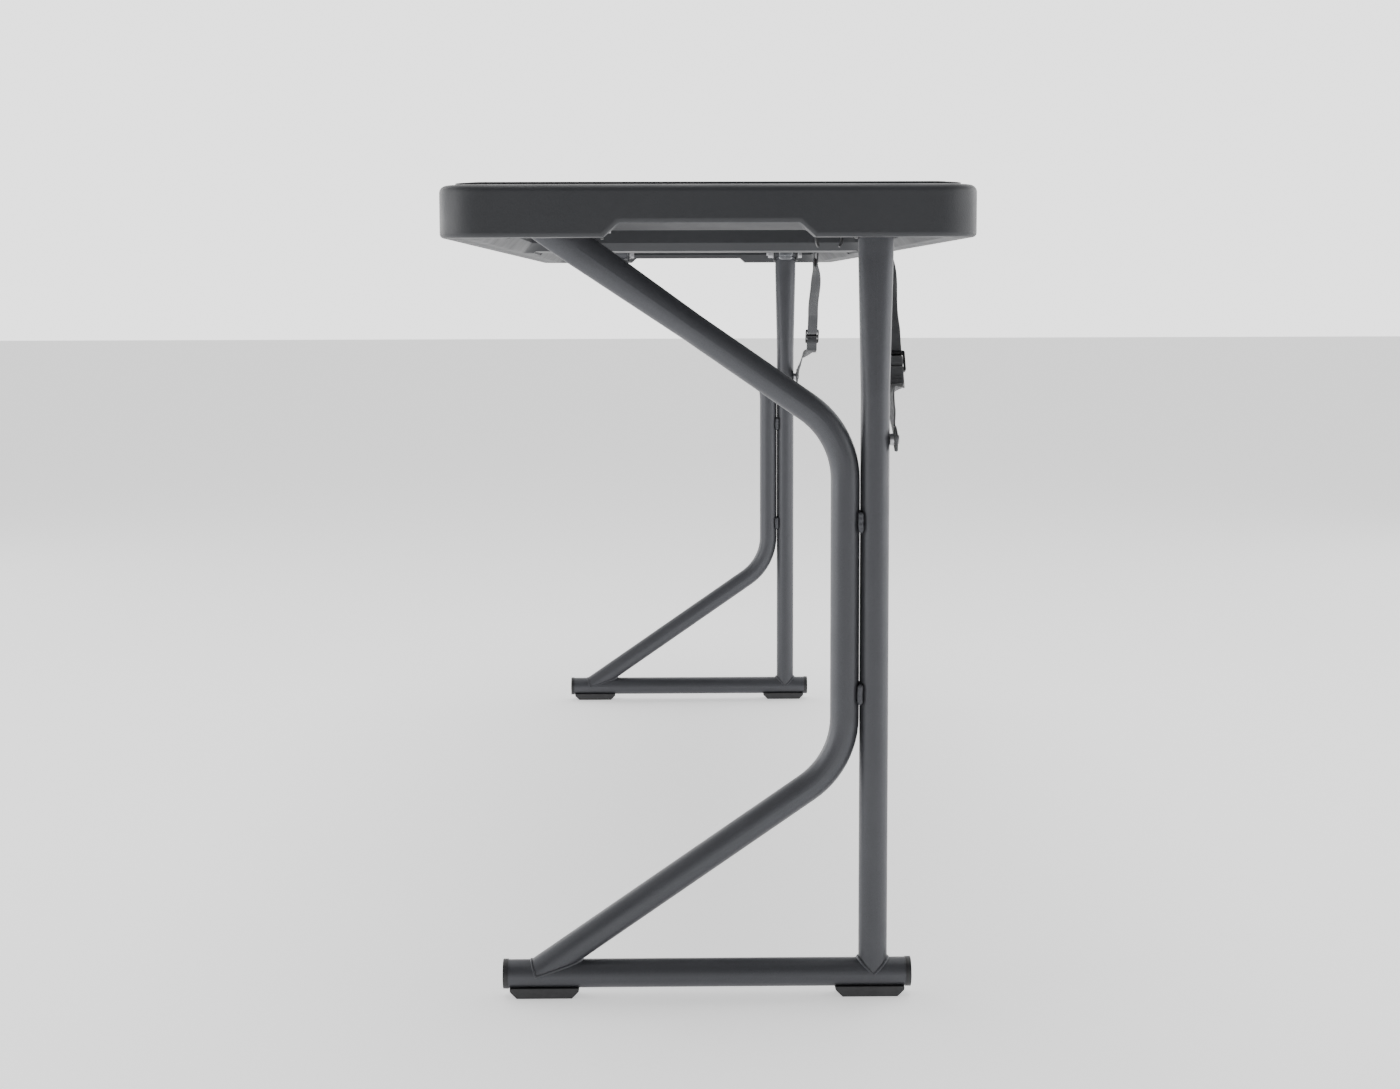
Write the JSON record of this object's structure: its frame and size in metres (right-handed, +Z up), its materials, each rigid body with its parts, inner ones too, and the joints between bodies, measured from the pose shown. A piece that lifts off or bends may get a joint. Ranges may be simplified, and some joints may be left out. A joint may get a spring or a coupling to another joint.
{
  "type": "folding table",
  "caption": "Long narrow folding table: hollow moulded top with finger notches in its ends, on bent-tube end legs that fold flat into recesses in its underside.",
  "frame": {"origin": "on the floor under the centre of the top, legs open", "axes": "+X along the length, +Z up, -Y the user's side"},
  "size_m": [1.829, 0.466, 0.743],
  "materials": {
    "moulded_top": "fine-textured blow-moulded polyethylene",
    "tube_paint": "satin graphite powder coat",
    "bracket_steel": "satin black powder coat",
    "spring_steel": "bright spring steel",
    "zinc_steel": "zinc plated",
    "black_plastic": "moulded, satin",
    "buckle_plastic": "moulded, glossy",
    "pad_rubber": "matte rubber",
    "webbing": "woven polypropylene webbing"
  },
  "bodies": {
    "top": {"tabletop": "moulded_top", "bracket_screws": "zinc_steel", "pivot_nuts": "zinc_steel", "pivot_washers": "zinc_steel", "latch_rivets": "zinc_steel", "clip_screws": "zinc_steel", "anchor_screws": "zinc_steel", "post_pivot_bolts": "zinc_steel", "brace_pivot_bolts": "zinc_steel", "right_post_bracket": "bracket_steel", "right_brace_bracket": "bracket_steel", "right_strap_anchor": "bracket_steel", "right_latch_leaf": "spring_steel", "right_leg_clip": "black_plastic", "right_upper_strap": "webbing", "right_lower_strap": "webbing", "right_strap_slider": "buckle_plastic", "left_post_bracket": "bracket_steel", "left_brace_bracket": "bracket_steel", "left_strap_anchor": "bracket_steel", "left_latch_leaf": "spring_steel", "left_leg_clip": "black_plastic", "left_upper_strap": "webbing", "left_lower_strap": "webbing", "left_strap_slider": "buckle_plastic"},
    "right_leg": {"right_post_tube": "tube_paint", "right_brace_tube": "tube_paint", "right_foot_tube": "tube_paint", "right_column_welds": "tube_paint", "right_post_pivot_sleeve": "tube_paint", "right_brace_pivot_sleeve": "tube_paint", "right_foot_caps": "black_plastic", "right_foot_pads": "pad_rubber", "right_pad_screws": "zinc_steel", "right_strap_tab": "webbing", "right_strap_rivet": "zinc_steel"},
    "left_leg": {"left_post_tube": "tube_paint", "left_brace_tube": "tube_paint", "left_foot_tube": "tube_paint", "left_column_welds": "tube_paint", "left_post_pivot_sleeve": "tube_paint", "left_brace_pivot_sleeve": "tube_paint", "left_foot_caps": "black_plastic", "left_foot_pads": "pad_rubber", "left_pad_screws": "zinc_steel", "left_strap_tab": "webbing", "left_strap_rivet": "zinc_steel"}
  },
  "joints": [
    {"name": "right_leg_fold", "type": "hinge", "parent": "top", "child": "right_leg", "pos_m": [0.8045, 0, 0.7085], "axis": [0, 1, 0], "range_deg": [0, 90], "deforming": ["right_latch_leaf", "right_leg_clip", "right_upper_strap", "right_lower_strap"]},
    {"name": "left_leg_fold", "type": "hinge", "parent": "top", "child": "left_leg", "pos_m": [-0.8045, 0, 0.7085], "axis": [0, -1, 0], "range_deg": [0, 90], "deforming": ["left_latch_leaf", "left_leg_clip", "left_upper_strap", "left_lower_strap"]}
  ]
}
